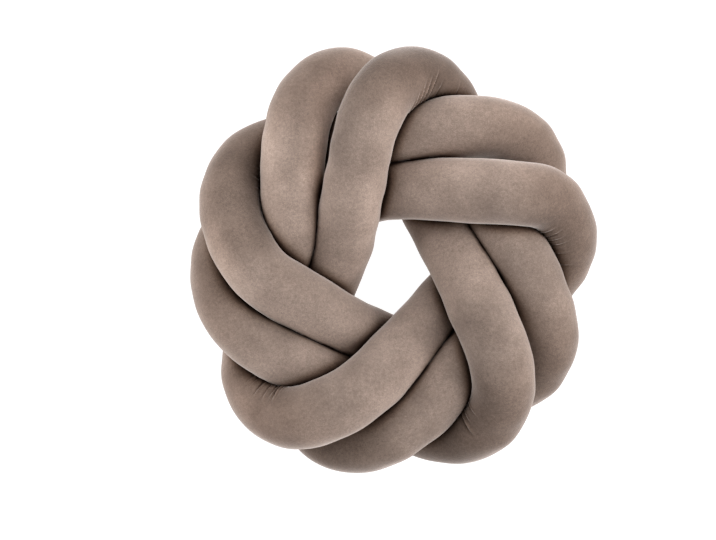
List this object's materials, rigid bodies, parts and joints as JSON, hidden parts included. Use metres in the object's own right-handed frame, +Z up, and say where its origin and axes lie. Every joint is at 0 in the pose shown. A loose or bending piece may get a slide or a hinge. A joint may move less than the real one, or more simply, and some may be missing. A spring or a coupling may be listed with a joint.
{
  "type": "knot cushion",
  "caption": "Ring-shaped knot cushion: one filled velvet tube closed on itself, with lobes round an open middle.",
  "frame": {"origin": "middle of the footprint, on the surface that the cushion rests on", "axes": "+Z up out of the face that shows, the thinnest way through; +Y the longer way across the ring"},
  "size_m": [0.3912, 0.4094, 0.1506],
  "materials": {
    "velvet": "soft short-pile velvet in warm taupe, with a light sheen where the pile turns away"
  },
  "bodies": {
    "root": {"tube": "velvet"}
  },
  "joints": []
}
